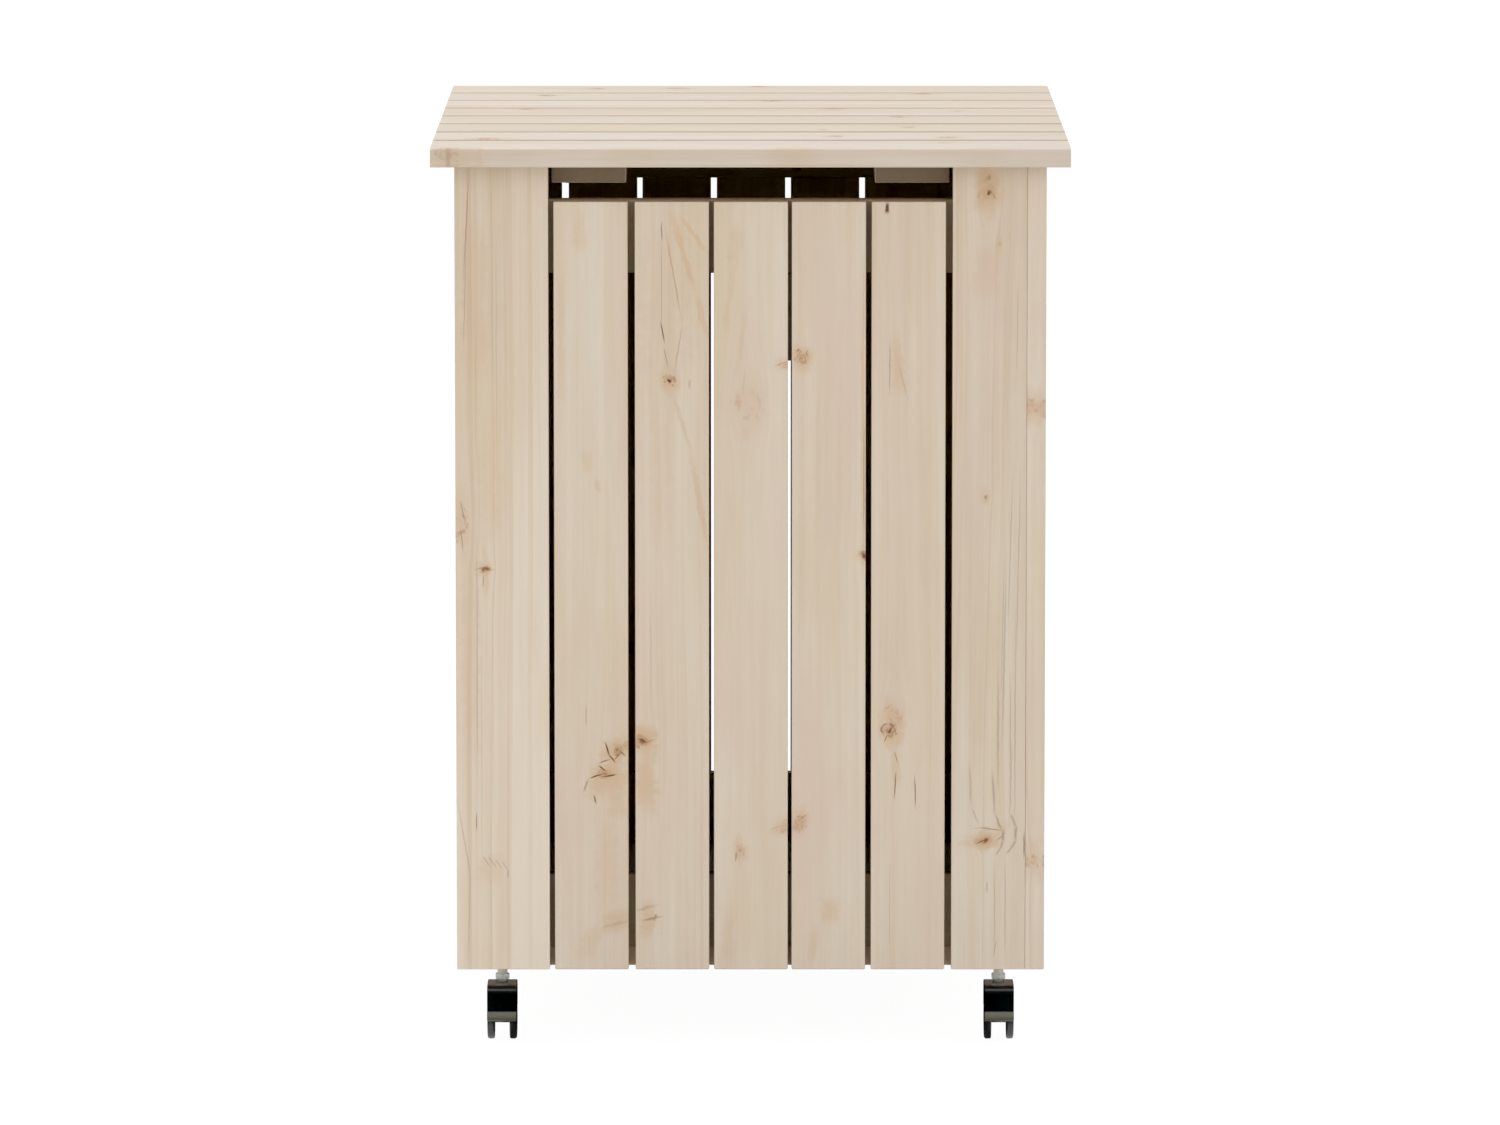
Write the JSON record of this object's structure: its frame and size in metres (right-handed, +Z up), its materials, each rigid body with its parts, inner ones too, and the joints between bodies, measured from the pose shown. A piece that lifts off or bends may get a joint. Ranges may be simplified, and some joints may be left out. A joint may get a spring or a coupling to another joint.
{
  "type": "hay rack feeder",
  "caption": "Wheeled slatted pine box with an overhanging hinged slatted lid, a reach-in gap under the lid at the front, and swivel casters.",
  "frame": {"origin": "on the ground, under the middle of the lid", "axes": "+Z up, -Y towards the front (the side with the gap under the lid), +X to the right seen from the front"},
  "size_m": [0.6, 0.75, 0.854],
  "materials": {
    "pine": "planed bare pine with visible knots and growth rings, matt",
    "zinc_steel": "bright zinc plated",
    "black_plastic": "glossy moulded black",
    "wheel_plastic": "satin black tread"
  },
  "bodies": {
    "root": {"corner_post_front_left": "pine", "corner_post_front_right": "pine", "corner_post_rear_left": "pine", "corner_post_rear_right": "pine", "front_slat_1": "pine", "front_slat_2": "pine", "front_slat_3": "pine", "front_slat_4": "pine", "front_slat_5": "pine", "rear_slat_1": "pine", "rear_slat_2": "pine", "rear_slat_3": "pine", "rear_slat_4": "pine", "rear_slat_5": "pine", "left_slat_1": "pine", "left_slat_2": "pine", "left_slat_3": "pine", "left_slat_4": "pine", "left_slat_5": "pine", "left_slat_6": "pine", "left_slat_7": "pine", "right_slat_1": "pine", "right_slat_2": "pine", "right_slat_3": "pine", "right_slat_4": "pine", "right_slat_5": "pine", "right_slat_6": "pine", "right_slat_7": "pine", "front_upper_rail": "pine", "rear_upper_rail": "pine", "front_lower_rail": "pine", "rear_lower_rail": "pine", "left_upper_rail": "pine", "right_upper_rail": "pine", "floor_panel": "pine", "hinge_body_leaf": "zinc_steel", "hinge_pin": "zinc_steel", "caster_front_left_stem": "zinc_steel", "caster_front_right_stem": "zinc_steel", "caster_rear_left_stem": "zinc_steel", "caster_rear_right_stem": "zinc_steel"},
    "lid": {"lid_board_1": "pine", "lid_board_2": "pine", "lid_board_3": "pine", "lid_board_4": "pine", "lid_board_5": "pine", "lid_board_6": "pine", "lid_board_7": "pine", "lid_board_8": "pine", "lid_batten_left": "pine", "lid_batten_right": "pine", "hinge_lid_leaf": "zinc_steel"},
    "front_left_hood": {"caster_front_left_hood": "black_plastic"},
    "front_left_wheels": {"caster_front_left_wheels": "wheel_plastic"},
    "front_right_hood": {"caster_front_right_hood": "black_plastic"},
    "front_right_wheels": {"caster_front_right_wheels": "wheel_plastic"},
    "rear_left_hood": {"caster_rear_left_hood": "black_plastic"},
    "rear_left_wheels": {"caster_rear_left_wheels": "wheel_plastic"},
    "rear_right_hood": {"caster_rear_right_hood": "black_plastic"},
    "rear_right_wheels": {"caster_rear_right_wheels": "wheel_plastic"}
  },
  "joints": [
    {"name": "lid_hinge", "type": "hinge", "parent": "root", "child": "lid", "pos_m": [0, 0.3564, 0.8326], "axis": [-1, 0, 0], "range_deg": [0, 90]},
    {"name": "front_left_swivel", "type": "hinge", "parent": "root", "child": "front_left_hood", "pos_m": [-0.236, -0.311, 0.045], "axis": [0, 0, 1], "continuous": true},
    {"name": "front_left_roll", "type": "hinge", "parent": "front_left_hood", "child": "front_left_wheels", "pos_m": [-0.236, -0.319, 0.02], "axis": [1, 0, 0], "continuous": true},
    {"name": "front_right_swivel", "type": "hinge", "parent": "root", "child": "front_right_hood", "pos_m": [0.236, -0.311, 0.045], "axis": [0, 0, 1], "continuous": true},
    {"name": "front_right_roll", "type": "hinge", "parent": "front_right_hood", "child": "front_right_wheels", "pos_m": [0.236, -0.319, 0.02], "axis": [1, 0, 0], "continuous": true},
    {"name": "rear_left_swivel", "type": "hinge", "parent": "root", "child": "rear_left_hood", "pos_m": [-0.236, 0.311, 0.045], "axis": [0, 0, 1], "continuous": true},
    {"name": "rear_left_roll", "type": "hinge", "parent": "rear_left_hood", "child": "rear_left_wheels", "pos_m": [-0.236, 0.303, 0.02], "axis": [1, 0, 0], "continuous": true},
    {"name": "rear_right_swivel", "type": "hinge", "parent": "root", "child": "rear_right_hood", "pos_m": [0.236, 0.311, 0.045], "axis": [0, 0, 1], "continuous": true},
    {"name": "rear_right_roll", "type": "hinge", "parent": "rear_right_hood", "child": "rear_right_wheels", "pos_m": [0.236, 0.303, 0.02], "axis": [1, 0, 0], "continuous": true}
  ]
}
